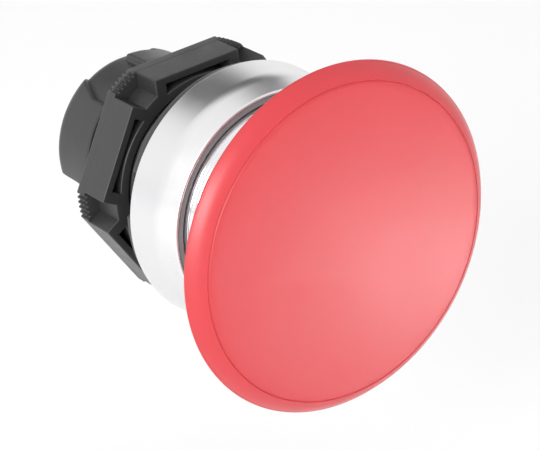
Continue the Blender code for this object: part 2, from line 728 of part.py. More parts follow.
def main():
    for item in list(bpy.data.objects):
        bpy.data.objects.remove(item, do_unlink=True)
    cap_carriage = carriage("cap_carriage")
    for build in (
        mushroom_cap,
        cap_insert,
        collar_sleeve,
        lock_washer,
        plunger_stem,
        stem_circlip,
        pusher,
        pusher_washer,
        pusher_screw,
    ):
        build(cap_carriage)
    for build in (
        housing,
        panel_seal,
        bezel_ring,
        wiper_seal,
        guide_bush,
        stem_seal,
        spring_washer,
        return_spring,
        latch_plates,
        latch_clip,
        retaining_ring,
    ):
        build()
    fixing_nut(carriage("nut_carriage"))


main()
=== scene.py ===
"""Looks of the emergency stop button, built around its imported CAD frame.

Outlines are in millimetres as (reach, radius): reach is the distance in front of the panel plane along
the button's axis, so y = -reach. Angles run from +X towards +Z, as seen from the front. Every piece
starts from the box of the CAD node that it stands for.
"""

import math

import bmesh
import bpy
import numpy as np
from mathutils import Matrix, Vector


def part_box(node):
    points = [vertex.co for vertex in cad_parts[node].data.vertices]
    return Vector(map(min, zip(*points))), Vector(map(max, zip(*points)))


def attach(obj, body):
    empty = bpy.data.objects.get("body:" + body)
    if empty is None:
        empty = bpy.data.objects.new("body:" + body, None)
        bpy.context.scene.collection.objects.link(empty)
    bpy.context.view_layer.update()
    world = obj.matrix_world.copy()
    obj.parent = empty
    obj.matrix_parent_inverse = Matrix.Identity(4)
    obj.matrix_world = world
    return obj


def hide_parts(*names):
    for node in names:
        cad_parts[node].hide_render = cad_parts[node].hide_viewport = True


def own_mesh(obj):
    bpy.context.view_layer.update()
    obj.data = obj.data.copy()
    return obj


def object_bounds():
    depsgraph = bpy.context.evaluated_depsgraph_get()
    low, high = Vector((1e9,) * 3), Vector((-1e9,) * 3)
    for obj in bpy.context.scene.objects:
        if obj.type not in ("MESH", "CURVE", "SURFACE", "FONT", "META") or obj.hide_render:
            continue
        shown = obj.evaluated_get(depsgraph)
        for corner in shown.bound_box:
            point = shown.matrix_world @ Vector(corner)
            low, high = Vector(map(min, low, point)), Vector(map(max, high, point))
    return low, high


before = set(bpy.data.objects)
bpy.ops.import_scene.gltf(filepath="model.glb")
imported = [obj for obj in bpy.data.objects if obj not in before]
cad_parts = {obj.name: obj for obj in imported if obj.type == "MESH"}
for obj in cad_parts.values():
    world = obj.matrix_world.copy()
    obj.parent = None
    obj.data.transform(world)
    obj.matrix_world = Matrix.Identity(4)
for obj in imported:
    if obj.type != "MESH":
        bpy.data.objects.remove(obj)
cad_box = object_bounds()

MM = 0.001


# ---------------------------------------------------------------- sizes taken from the frame
GAP = 0.3  # between pieces that touch on the real button, as in the CAD
FINE = 256  # columns around the large glossy pieces


def span(node):
    """(rear reach, front reach, radius) of a CAD node, in millimetres."""
    low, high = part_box(node)
    return -high.y / MM, -low.y / MM, high.x / MM


# ---------------------------------------------------------------- mesh helpers
def rounded(corners, steps=4):
    """Closed outline from (reach, radius, round) corners, each corner replaced by its round."""
    points = []
    for i, (reach, radius, size) in enumerate(corners):
        here = np.array((reach, radius), float)
        before = np.array(corners[i - 1][:2], float) - here
        after = np.array(corners[(i + 1) % len(corners)][:2], float) - here
        if size <= 0:
            points.append(tuple(here))
            continue
        room = 0.49 * min(np.linalg.norm(before), np.linalg.norm(after))
        before /= np.linalg.norm(before)
        after /= np.linalg.norm(after)
        half = math.acos(max(-1.0, min(1.0, float(before @ after)))) / 2
        length = min(size / math.tan(half), room)
        size = length * math.tan(half)
        middle = before + after
        centre = here + middle / np.linalg.norm(middle) * (size / math.sin(half))
        first, last = here + before * length - centre, here + after * length - centre
        sweep = math.pi - 2 * half
        for k in range(steps + 1):
            share = k / steps
            blend = math.sin((1 - share) * sweep) * first + math.sin(share * sweep) * last
            points.append(tuple(centre + blend / math.sin(sweep)))
    return points


def grid_mesh(name, reach, radius, degrees):
    """Closed mesh from arrays of columns around the axis by rows along an outline, in millimetres."""
    reach, radius, degrees = np.broadcast_arrays(reach, radius, degrees)
    turn = np.radians(degrees)
    verts = np.stack([radius * np.cos(turn), -reach, radius * np.sin(turn)], axis=-1) * MM
    columns, rows = reach.shape
    faces = []
    for c in range(columns):
        d = (c + 1) % columns
        for r in range(rows):
            s = (r + 1) % rows
            faces.append((c * rows + r, c * rows + s, d * rows + s, d * rows + r))
    mesh = bpy.data.meshes.new(name)
    mesh.from_pydata(verts.reshape(-1, 3).tolist(), [], faces)
    return cleaned(mesh)


def cleaned(mesh):
    """Merge the points on the axis, drop faces without area and turn every face outwards."""
    bm = bmesh.new()
    bm.from_mesh(mesh)
    bmesh.ops.remove_doubles(bm, verts=bm.verts, dist=1e-7)
    bmesh.ops.dissolve_degenerate(bm, edges=bm.edges, dist=1e-8)
    bmesh.ops.recalc_face_normals(bm, faces=bm.faces)
    bm.to_mesh(mesh)
    bm.free()
    return mesh


def spun(name, outline, columns):
    """Solid of revolution from a closed run of (reach, radius) points."""
    outline = np.array(outline)
    degrees = np.arange(columns)[:, None] * 360 / columns
    return grid_mesh(name, outline[None, :, 0], outline[None, :, 1], degrees)


def turned(name, corners, columns=192, steps=4):
    """Solid of revolution from (reach, radius, round) corners."""
    return spun(name, rounded(corners, steps), columns)


def shaped(name, degrees, section):
    """Ring whose outline, section(angle), changes on its way around."""
    outlines = np.array([section(a) for a in degrees])
    return grid_mesh(name, outlines[:, :, 0], outlines[:, :, 1], np.array(degrees)[:, None])


def prism(name, outline, rear, front, edge, steps=3):
    """Straight block along the axis from (x, z) points, with all its edges rounded."""
    bm = bmesh.new()
    near = [bm.verts.new((x * MM, -front * MM, z * MM)) for x, z in outline]
    far = [bm.verts.new((x * MM, -rear * MM, z * MM)) for x, z in outline]
    bm.faces.new(near)
    bm.faces.new(far[::-1])
    for i in range(len(outline)):
        j = (i + 1) % len(outline)
        bm.faces.new((near[j], near[i], far[i], far[j]))
    bmesh.ops.recalc_face_normals(bm, faces=bm.faces)
    bmesh.ops.bevel(
        bm, geom=bm.edges[:], offset=edge * MM, segments=steps, profile=0.5, affect="EDGES",
        clamp_overlap=True
    )
    mesh = bpy.data.meshes.new(name)
    bm.to_mesh(mesh)
    bm.free()
    return mesh


def tube(name, points, radius, sides=12):
    """Round wire along a run of points, with domed ends."""
    points = np.array(points, float)
    ahead = np.gradient(points, axis=0)
    ahead /= np.linalg.norm(ahead, axis=1)[:, None]
    side = np.cross(ahead, (0.0, 1.0, 0.0))
    side /= np.linalg.norm(side, axis=1)[:, None]
    lift = np.cross(side, ahead)
    shares = np.linspace(0, math.pi / 2, 5)[:-1]
    domes = [(math.cos(a), math.sin(a)) for a in shares]
    run = [(0, -out * radius, size) for size, out in reversed(domes[1:])]
    run += [(i, 0.0, 1.0) for i in range(len(points))]
    run += [(len(points) - 1, out * radius, size) for size, out in domes[1:]]
    verts, faces = [], []
    for i, shift, size in run:
        centre = points[i] + ahead[i] * shift
        for k in range(sides):
            a = math.tau * k / sides
            out = math.cos(a) * side[i] + math.sin(a) * lift[i]
            verts.append(tuple((centre + radius * size * out) * MM))
    for i in range(len(run) - 1):
        for k in range(sides):
            m = (k + 1) % sides
            faces.append((i * sides + k, i * sides + m, (i + 1) * sides + m, (i + 1) * sides + k))
    faces.append(tuple(range(sides)))
    faces.append(tuple(range((len(run) - 1) * sides, len(run) * sides)))
    mesh = bpy.data.meshes.new(name)
    mesh.from_pydata(verts, [], faces)
    return cleaned(mesh)


def applied(target, operation, others):
    """Mesh of a target after boolean steps with other meshes."""
    body = bpy.data.objects.new("work", target)
    helpers = [bpy.data.objects.new("work", mesh) for mesh in others]
    for item in [body, *helpers]:
        bpy.context.scene.collection.objects.link(item)
    for helper in helpers:
        step = body.modifiers.new("step", "BOOLEAN")
        step.operation = operation
        step.solver = "EXACT"
        step.object = helper
    bpy.context.view_layer.update()
    result = bpy.data.meshes.new_from_object(body.evaluated_get(bpy.context.evaluated_depsgraph_get()))
    for item in [body, *helpers]:
        bpy.data.objects.remove(item)
    return result


SHARP_EDGE = 42  # degrees: steeper edges are shaded sharp


def piece(name, mesh, finish, body, node):
    """Show a mesh in place of a CAD node, riding on the same body."""
    mesh.materials.clear()
    mesh.materials.append(finish)
    mesh.shade_smooth()
    mesh.set_sharp_from_angle(angle=math.radians(SHARP_EDGE))
    made = bpy.data.objects.new(name, mesh)
    bpy.context.scene.collection.objects.link(made)
    weights = made.modifiers.new("even_shading", "WEIGHTED_NORMAL")
    weights.keep_sharp = True
    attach(made, body)
    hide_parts(node)
    return made


# ---------------------------------------------------------------- material helpers
def add(tree, kind, settings=None, **inputs):
    """Add a shader node. Inputs are given by name and are either values or sockets to link."""
    made = tree.nodes.new("ShaderNode" + kind)
    for key, value in (settings or {}).items():
        setattr(made, key, value)
    for key, value in inputs.items():
        socket = made.inputs[int(key[1:])] if key[0] == "i" and key[1:].isdigit() else made.inputs[key]
        if isinstance(value, bpy.types.NodeSocket):
            tree.links.new(value, socket)
        else:
            socket.default_value = value
    return made


def surface(name, roughness, metallic=0.0, **sockets):
    """New Principled material and its parts."""
    made = bpy.data.materials.new(name)
    made.use_nodes = True
    shader = made.node_tree.nodes["Principled BSDF"]
    shader.inputs["Roughness"].default_value = roughness
    shader.inputs["Metallic"].default_value = metallic
    for key, value in sockets.items():
        shader.inputs[key.replace("_", " ")].default_value = value
    return made, made.node_tree, shader


def place(tree):
    """Position on the piece, in metres."""
    return add(tree, "TexCoord").outputs["Object"]


def around(tree, along_turn, along_axis):
    """Position unrolled around the button's axis: (turn, reach, radius), each with its own stretch."""
    split = add(tree, "SeparateXYZ", Vector=place(tree))
    turn = add(tree, "Math", {"operation": "ARCTAN2"}, i0=split.outputs["Z"], i1=split.outputs["X"])
    flat = add(tree, "CombineXYZ", X=split.outputs["X"], Y=0.0, Z=split.outputs["Z"])
    radius = add(tree, "VectorMath", {"operation": "LENGTH"}, i0=flat.outputs["Vector"])
    turned_by = add(tree, "Math", {"operation": "MULTIPLY"}, i0=turn.outputs[0], i1=along_turn)
    reach = add(tree, "Math", {"operation": "MULTIPLY"}, i0=split.outputs["Y"], i1=along_axis)
    out = add(tree, "Math", {"operation": "MULTIPLY"}, i0=radius.outputs["Value"], i1=along_axis)
    return add(tree, "CombineXYZ", X=turned_by.outputs[0], Y=reach.outputs[0], Z=out.outputs[0]).outputs[0]


def noise(tree, vector, scale, detail=3.0, roughness=0.55):
    """Noise value, from 0 to 1."""
    made = add(tree, "TexNoise", Vector=vector, Scale=scale, Detail=detail, Roughness=roughness)
    return made.outputs["Fac"]


def spread(tree, value, low, high, start=0.3, end=0.7):
    """A noise value spread over a range."""
    return add(
        tree, "MapRange", {"clamp": True}, Value=value, **{"From Min": start, "From Max": end},
        **{"To Min": low, "To Max": high}
    ).outputs["Result"]


def blended(tree, share, first, second):
    """Socket of a blend of two colours, each of them a colour or a socket to link."""
    mix = add(tree, "Mix", {"data_type": "RGBA"}, i0=share)
    for socket, color in zip([s for s in mix.inputs if s.type == "RGBA"], (first, second)):
        if isinstance(color, bpy.types.NodeSocket):
            tree.links.new(color, socket)
        else:
            socket.default_value = (*color, 1.0)
    return [s for s in mix.outputs if s.type == "RGBA"][0]


def mottle(tree, shader, share, first, second):
    """Base colour that drifts between two tones."""
    tone = blended(tree, share, first, second)
    tree.links.new(tone, shader.inputs["Base Color"])
    return tone


def relief(tree, shader, layers):
    """Stack bumps of (height, strength, distance in millimetres)."""
    last = None
    for height, strength, distance in layers:
        bump = add(tree, "Bump", Height=height, Strength=strength, Distance=distance * MM)
        if last:
            tree.links.new(last, bump.inputs["Normal"])
        last = bump.outputs["Normal"]
    tree.links.new(last, shader.inputs["Normal"])


def shade_of(color, share):
    """A colour made darker or lighter."""
    return tuple(min(1.0, c * share) for c in color)


# ---------------------------------------------------------------- materials
def moulded(name, color, roughness, grain=0.35, drift=0.08, grain_scale=3200.0, **sockets):
    """Moulded plastic: spark-eroded grain, slow colour drift and uneven gloss."""
    made, tree, shader = surface(name, roughness, **sockets)
    at = place(tree)
    slow = noise(tree, at, 90.0, 2.0)
    fine = noise(tree, at, grain_scale, 4.0, 0.6)
    streak = noise(tree, at, 420.0, 5.0, 0.65)
    mottle(tree, shader, slow, shade_of(color, 1 - drift), shade_of(color, 1 + drift))
    tree.links.new(spread(tree, streak, roughness - 0.05, roughness + 0.07), shader.inputs["Roughness"])
    relief(tree, shader, [(fine, grain, 0.03), (streak, 0.12, 0.06)])
    return made


def cap_plastic():
    """Red moulded plastic with a fine satin grain and a few specks of dust."""
    red, dust = (0.50, 0.022, 0.030), (0.95, 0.42, 0.42)
    made, tree, shader = surface("cap_red_satin", 0.42, IOR=1.5, Coat_Weight=0.35, Coat_Roughness=0.30)
    at = place(tree)
    slow = noise(tree, at, 70.0, 2.0)
    fine = noise(tree, at, 4200.0, 3.0, 0.6)
    wave = noise(tree, at, 260.0, 3.0)
    tone = mottle(tree, shader, slow, shade_of(red, 0.95), shade_of(red, 1.05))
    cells = add(tree, "TexVoronoi", {"feature": "F1"}, Vector=at, Scale=330.0, Randomness=1.0)
    near = spread(tree, cells.outputs["Distance"], 1.0, 0.0, 0.03, 0.06)
    pick = add(tree, "SeparateColor", Color=cells.outputs["Color"])
    rare = spread(tree, pick.outputs["Red"], 0.0, 0.5, 0.93, 0.95)
    speck = add(tree, "Math", {"operation": "MULTIPLY"}, i0=near, i1=rare)
    tree.links.new(blended(tree, speck.outputs[0], tone, dust), shader.inputs["Base Color"])
    tree.links.new(spread(tree, wave, 0.38, 0.46), shader.inputs["Roughness"])
    relief(tree, shader, [(fine, 0.25, 0.02), (wave, 0.10, 0.05)])
    return made


def plated(name, color, roughness, brush, tint=0.03):
    """Plated metal: faint marks around the axis under the plating, and uneven gloss."""
    made, tree, shader = surface(name, roughness, 1.0)
    lines = noise(tree, around(tree, 12.0, 9000.0), 1.0, 3.0, 0.6)
    cloud = noise(tree, place(tree), 150.0, 4.0, 0.6)
    pearl = noise(tree, place(tree), 6000.0, 2.0, 0.5)
    mottle(tree, shader, cloud, shade_of(color, 1 - tint), shade_of(color, 1 + tint))
    tree.links.new(spread(tree, cloud, roughness * 0.85, roughness * 1.2), shader.inputs["Roughness"])
    relief(tree, shader, [(lines, brush, 0.01), (pearl, brush, 0.008)])
    return made


def turned_metal(name, color, roughness, groove=0.5):
    """Machined metal: tool marks around the axis, light staining."""
    made, tree, shader = surface(name, roughness, 1.0)
    lines = noise(tree, around(tree, 4.0, 16000.0), 1.0, 2.0, 0.7)
    stain = noise(tree, place(tree), 600.0, 5.0, 0.6)
    mottle(tree, shader, stain, shade_of(color, 0.86), shade_of(color, 1.08))
    tree.links.new(spread(tree, stain, roughness * 0.8, roughness * 1.35), shader.inputs["Roughness"])
    relief(tree, shader, [(lines, groove, 0.02)])
    return made


def rubber_finish(name, color, roughness=0.62):
    """Matt rubber: cloudy bloom and a fine uneven skin."""
    made, tree, shader = surface(name, roughness, Sheen_Weight=0.15, Sheen_Roughness=0.5)
    bloom = noise(tree, place(tree), 380.0, 4.0, 0.6)
    skin = noise(tree, place(tree), 2600.0, 3.0, 0.6)
    mottle(tree, shader, bloom, shade_of(color, 0.85), shade_of(color, 1.2))
    tree.links.new(spread(tree, bloom, roughness - 0.08, roughness + 0.1), shader.inputs["Roughness"])
    relief(tree, shader, [(skin, 0.4, 0.04)])
    return made


cap_red = cap_plastic()
satin_chrome = plated("chrome_satin", (0.80, 0.80, 0.81), 0.30, 0.10)
bright_chrome = plated("chrome_bright", (0.82, 0.84, 0.87), 0.10, 0.04, 0.01)
black_plastic = moulded("plastic_black", (0.030, 0.030, 0.031), 0.38, 0.5, 0.10, 2400.0)
pale_plastic = moulded("plastic_pale", (0.62, 0.60, 0.55), 0.42, 0.3, 0.04)
seal_rubber = rubber_finish("rubber_dark", (0.030, 0.030, 0.031))
wiper_rubber = rubber_finish("rubber_grey", (0.17, 0.165, 0.165), 0.5)
steel = turned_metal("steel_turned", (0.55, 0.56, 0.58), 0.30)
spring_steel = turned_metal("steel_drawn", (0.50, 0.50, 0.50), 0.34, 0.3)
brass = turned_metal("brass_turned", (0.72, 0.52, 0.22), 0.28)


# ---------------------------------------------------------------- mushroom cap
CREASE_INSET = 1.9  # from the widest radius to the crease
CREASE_DEPTH = 0.16
CREASE_WIDTH = 0.20
RIM_BACK = 5.0  # from the cap's rear to its widest plane
RIM_FRONT = 1.75  # from the widest plane to the crease
RIM_BULGE = 0.15
RIM_EDGE = 0.28  # round of the rim's outer edge
NECK_GAP = 1.1  # from the sleeve's radius to the outside of the neck
NECK_WALL = 2.5
HUB_WALL = 1.6  # around the insert
HOLLOW = 0.385  # how far the underside curves in behind the rim
NECK_EDGE = 0.2  # chamfer of the neck and the hub


def red_cap():
    """Cap with a domed face and a crease inside its rim, hollow behind, with a neck and a hub."""
    rear, front, radius = span("mushroom_cap")
    insert_front, insert_radius = span("cap_insert")[1:]
    neck = span("collar_sleeve")[2] + NECK_GAP
    pocket = neck - NECK_WALL
    hole = insert_radius + GAP
    hub = hole + HUB_WALL
    ceiling = insert_front + GAP
    widest = rear + RIM_BACK
    crease = radius - CREASE_INSET
    edge = widest + RIM_FRONT
    dome = front - edge
    ball = (crease**2 + dome**2) / (2 * dome)
    face = np.linspace(0, crease - CREASE_WIDTH, 24)
    outline = [(front - ball + math.sqrt(ball**2 - r**2), r) for r in face]
    outline += [
        (edge - 0.01, crease - CREASE_WIDTH / 2),
        (edge - CREASE_DEPTH * 0.75, crease - 0.03),
        (edge - CREASE_DEPTH, crease + 0.03),
        (edge - CREASE_DEPTH * 0.75, crease + 0.08),
    ]
    for share in np.linspace(0.06, 0.9, 18):
        bulge = RIM_BULGE * math.sin(math.pi * share)
        outline.append((edge - RIM_FRONT * share + bulge, crease + CREASE_INSET * share + bulge))
    for lean in np.radians(np.linspace(50, 165, 9)):
        outline.append((widest + RIM_EDGE * math.cos(lean), radius - RIM_EDGE + RIM_EDGE * math.sin(lean)))

    # The underside runs in a hollow curve from behind the rim to the neck's root.
    behind = np.array((widest - RIM_EDGE - 0.1, radius - RIM_EDGE - 0.35))
    root = np.array((rear + 0.45, neck + 0.35))
    for share in np.linspace(0, 1, 14):
        dip = HOLLOW * math.sin(math.pi * share)
        outline.append(tuple(behind + (root - behind) * share + (dip, -dip)))
    outline += [
        (rear + 0.15, neck + 0.12), (rear, neck - 0.15), (rear, pocket + NECK_EDGE),
        (rear + NECK_EDGE, pocket), (ceiling, pocket), (ceiling, hub), (rear + NECK_EDGE, hub),
        (rear, hub - NECK_EDGE), (rear, hole + NECK_EDGE), (rear + NECK_EDGE, hole), (ceiling, hole),
        (ceiling, 0.0),
    ]
    return piece("red_cap", spun("red_cap", outline, FINE), cap_red, "cap", "mushroom_cap")


# ---------------------------------------------------------------- sleeve and wiper
SLEEVE_TAPER = 0.24  # narrowing towards the cap, per millimetre
SLEEVE_LAYER = 0.2  # how far the sleeve stands proud of its CAD radius, to meet the wiper
SLEEVE_WAIST = 0.5  # from the CAD radius in to its narrow front part
SLEEVE_INSIDE = 0.9  # from the CAD radius in to its inner wall
SLEEVE_END = 0.8  # thickness of its front wall
SLEEVE_HOLE = 2.9  # from the lock washer's edge in to the hole's edge
RINGS = 3
RING_FIRST = 1.35  # from the start of the taper
RING_PITCH = 0.42
RING_SIZE = 0.05  # depth and half width of a ring's groove
WIPER_GAP = 0.04  # to the sleeve
WIPER_SWELL = 0.15  # how far the wiper fills its gap in the bezel's mouth


def sleeve_tube():
    """Bright sleeve under the cap, narrowing in front of the wiper, with fine rings."""
    rear, front, cad_radius = span("collar_sleeve")
    hole = span("lock_washer")[2] - SLEEVE_HOLE
    start = span("wiper_seal")[1] - 0.05
    waist, inner = cad_radius - SLEEVE_WAIST, cad_radius - SLEEVE_INSIDE
    radius = cad_radius + SLEEVE_LAYER
    end = front - SLEEVE_END
    narrow = start + (radius - waist) / SLEEVE_TAPER
    corners = [(front, hole, 0.1), (front, waist, 0.15), (narrow, waist, 0.3)]
    for ring in range(RINGS):
        past = RING_FIRST - RING_PITCH * ring
        at, top = start + past, radius - SLEEVE_TAPER * past
        corners += [(at + RING_SIZE, top, 0.02), (at, top - RING_SIZE, 0.02), (at - RING_SIZE, top, 0.02)]
    corners += [
        (start, radius, 0.15), (rear, radius, 0.15), (rear, inner, 0.1), (end, inner, 0.2), (end, hole, 0.1),
    ]
    mesh = turned("sleeve_tube", corners, FINE)
    return piece("sleeve_tube", mesh, bright_chrome, "cap", "collar_sleeve")


def wiper_lip():
    """Dark ring in the bezel's mouth, with a lip against the sleeve."""
    rear, front, radius = span("wiper_seal")
    inner = span("collar_sleeve")[2] + SLEEVE_LAYER + WIPER_GAP
    outer = radius + WIPER_SWELL
    corners = [
        (front + 0.05, inner + 0.12, 0.1), (front, outer, 0.12), (rear, outer, 0.08),
        (rear, inner + 0.15, 0.08), (front - 0.35, inner, 0.1),
    ]
    return piece("wiper_lip", turned("wiper_lip", corners), wiper_rubber, "head", "wiper_seal")


# ---------------------------------------------------------------- bezel and panel seal
BEZEL_STEP = 2.1  # room for the barrel's flange, from the rear
BEZEL_SHOULDER = 2.7  # from the front back to the corner that its large round replaces
BEZEL_ROUND = 5.0
BEZEL_DRAFT = 0.22  # how far the side leans in
LIP_REACH = 0.14  # of the rolled lip at its mouth
MOUTH_GAP = 0.2  # from the wiper's and the flange's CAD radius to the bezel
BEZEL_HOLE = 0.4  # from the sleeve's CAD radius to the hole behind the wiper


def bezel_shell():
    """Satin ring with a large rounded shoulder and a rolled lip at its mouth."""
    rear, front, radius = span("bezel_ring")
    flange = span("housing")[2] + MOUTH_GAP
    mouth = span("wiper_seal")[2] + MOUTH_GAP
    hole = span("collar_sleeve")[2] + BEZEL_HOLE
    seat = span("wiper_seal")[0] - GAP
    step = rear + BEZEL_STEP
    corners = [
        (rear, radius, 0.18), (front - BEZEL_SHOULDER, radius - BEZEL_DRAFT, BEZEL_ROUND),
        (front - LIP_REACH, mouth + 0.36, 0.24), (front, mouth + 0.12, 0.10),
        (front - LIP_REACH, mouth, 0.08), (seat, mouth, 0.0), (seat, hole, 0.0), (step, hole, 0.0),
        (step, flange, 0.0), (rear, flange, 0.1),
    ]
    mesh = turned("bezel_shell", corners, FINE, steps=8)
    return piece("bezel_shell", mesh, satin_chrome, "head", "bezel_ring")


SEAL_NOTCH = (161.0, 180.0)  # degrees
SEAL_NOTCH_EASE = 0.9  # degrees: half the width of the notch's end walls
SEAL_NOTCH_DEPTH = 1.2
SEAL_WIDTH = 3.4


def seal_gasket():
    """Flat rubber ring with a notch in its edge."""
    rear, front, radius = span("panel_seal")
    inner = radius - SEAL_WIDTH
    start, end = SEAL_NOTCH
    ease = SEAL_NOTCH_EASE
    degrees = sorted(
        set(np.arange(0, 360, 2.0)) | {e + s for e in SEAL_NOTCH for s in np.linspace(-ease, ease, 7)}
    )

    def section(angle):
        opened = np.interp(angle, (start - ease, start + ease), (0, 1))
        closed = np.interp(angle, (end - ease, end + ease), (1, 0))
        outer = radius - SEAL_NOTCH_DEPTH * min(opened, closed)
        return rounded([(front, inner, 0.1), (front, outer, 0.25), (rear, outer, 0.25), (rear, inner, 0.1)])

    mesh = shaped("seal_gasket", degrees, section)
    return piece("seal_gasket", mesh, seal_rubber, "head", "panel_seal")


# ---------------------------------------------------------------- housing
THREAD_RADIUS = 10.95  # at the crests
THREAD_PITCH = 1.5
THREAD_DEPTH = 0.55
THREAD_START, THREAD_END = -0.2, -11.4  # reaches
THREAD_RUN_IN, THREAD_RUN_OUT = 0.8, 0.9
THREAD_ROWS = 12  # a turn
TUBE_STEP = 0.65  # from the thread's crests to the front tube's outside
TUBE_WALL = 2.7
FLANGE_THICKNESS = 1.8
NECK_END = -14.5  # reach
NECK_DEPTH = 0.9
REAR_STEP = 0.25
REAR_WALL = 2.5
REAR_ROUND = 1.6  # length of the round at the rear end
REAR_LAND = 0.9  # from the socket out to the rear round
REAR_ROWS = 0.3  # spacing
CLIP_GROOVE = 0.6  # depth of the retaining ring's groove
CLIP_PLAY = 0.15  # at each side of the ring
WEB_REAR, WEB_FRONT, WEB_HOLE = -5.5, -3.0, 5.4
RECESS_START, RECESS_MOUTH, RECESS_END = 98.0, 126.5, 138.0  # degrees
RECESS_LEAD = 4.7
RECESS_DEPTH = 0.8
RECESS_ROLL, RECESS_ROLL_DEPTH = 1.2, 0.65  # where its floor curves in at the rear end
STEP_START = 76.0  # degrees: a short step beside the first recess, as deep as it
STEP_LENGTH = 1.9
SLOT = (195.0, 280.8)  # degrees: through the wall
SLOT_LENGTH = 5.2
SLOT_SPREAD = 0.0004  # keeps the rows that end at the slot's floor apart
EDGE_COLUMNS = 2.0  # degrees on either side of an edge that have columns of their own
WALL_PROFILE = (
    (-0.30, 0.0), (-0.16, 0.03), (-0.06, 0.14), (0.0, 0.38),
    (0.03, 0.66), (0.08, 0.87), (0.18, 0.96), (0.32, 1.0),
)  # (distance inside the edge, share of the depth)


def wall(distance):
    """How far down the side wall of a recess is, 0 to 1, at a distance inside its edge in millimetres."""
    return np.interp(distance, [p[0] for p in WALL_PROFILE], [p[1] for p in WALL_PROFILE])


def barrel_rows(end, rear_radius, bore, socket, step_edge):
    """Closed outline of the barrel as (reach, radius, kind): its outside, then its inside."""
    flange = span("housing")[2]
    tube_front = span("housing")[1]
    tube_radius = THREAD_RADIUS + TUBE_STEP
    flange_rear = span("panel_seal")[1] + GAP
    flange_front = flange_rear + FLANGE_THICKNESS
    neck = rear_radius - NECK_DEPTH
    groove = socket + CLIP_GROOVE
    ring_rear, ring_front = span("retaining_ring")[:2]
    groove_rear, groove_front = ring_rear - CLIP_PLAY, ring_front + CLIP_PLAY
    land = socket + REAR_LAND

    front_part = rounded([
        (tube_front, bore, 0.2), (tube_front, tube_radius, 0.3), (flange_front, tube_radius, 0.15),
        (flange_front, flange, 0.2), (flange_rear, flange, 0.2), (flange_rear, THREAD_RADIUS, 0.0),
    ])
    tube_end = rounded([
        (tube_front, bore, 0.2), (tube_front, tube_radius, 0.3), (flange_front, tube_radius, 0.15),
    ])[:5]
    rows = [(s, r, "plain") for s, r in front_part[5:]]
    threaded = np.arange(THREAD_START, THREAD_END + 0.05, -THREAD_PITCH / THREAD_ROWS)
    rows += [(s, THREAD_RADIUS, "thread") for s in threaded]
    rows += [
        (THREAD_END, THREAD_RADIUS - 0.5, "plain"), (THREAD_END - 0.25, neck + 0.1, "plain"),
        (THREAD_END - 0.45, neck, "plain"), (NECK_END + 0.1, neck, "plain"), (NECK_END, neck + 0.1, "plain"),
        (NECK_END, rear_radius - 0.22, "rear"), (NECK_END - 0.06, rear_radius - 0.06, "rear"),
        (NECK_END - 0.22, rear_radius, "rear"),
    ]
    along = [NECK_END - 0.6 - REAR_ROWS * i for i in range(30)]
    along = [s for s in along if s > end + REAR_ROUND + 0.05 and abs(s - step_edge) > 0.35]
    along += [step_edge - p[0] for p in WALL_PROFILE]
    along = sorted(set(along), reverse=True)
    rows += [(s, rear_radius, "rear") for s in along]
    for lean in np.radians(np.linspace(0, 90, 13)):
        s = end + REAR_ROUND * (1 - math.sin(lean))
        if s < along[-1] - 0.02:
            rows.append((s, rear_radius - (rear_radius - land) * (1 - math.cos(lean)), "rear"))
    inside = rounded([
        (end, land - 0.01, 0.0), (end, socket + 0.5, 0.1), (end + 0.5, socket, 0.1),
        (groove_rear, socket, 0.0), (groove_rear, groove, 0.0), (groove_front, groove, 0.0),
        (groove_front, socket, 0.0), (WEB_REAR, socket, 0.3), (WEB_REAR, WEB_HOLE, 0.15),
        (WEB_FRONT, WEB_HOLE, 0.15), (WEB_FRONT, bore, 0.3),
    ])
    return rows + [(s, r, "plain") for s, r in inside + tube_end]


def barrel_columns(per_mm):
    """Angles around the barrel: evenly spaced, and close together across the walls of the recesses."""
    rising = [STEP_START, RECESS_START, SLOT[0]]
    falling = [RECESS_END, SLOT[1], RECESS_END + 180]
    edges = rising + falling
    columns = [a for a in np.arange(0, 360, 1.5) if min(abs(a - e) for e in edges) > EDGE_COLUMNS]
    columns += [e + p[0] * per_mm for e in rising for p in WALL_PROFILE]
    columns += [e - p[0] * per_mm for e in falling for p in WALL_PROFILE]
    return np.array(sorted(columns))


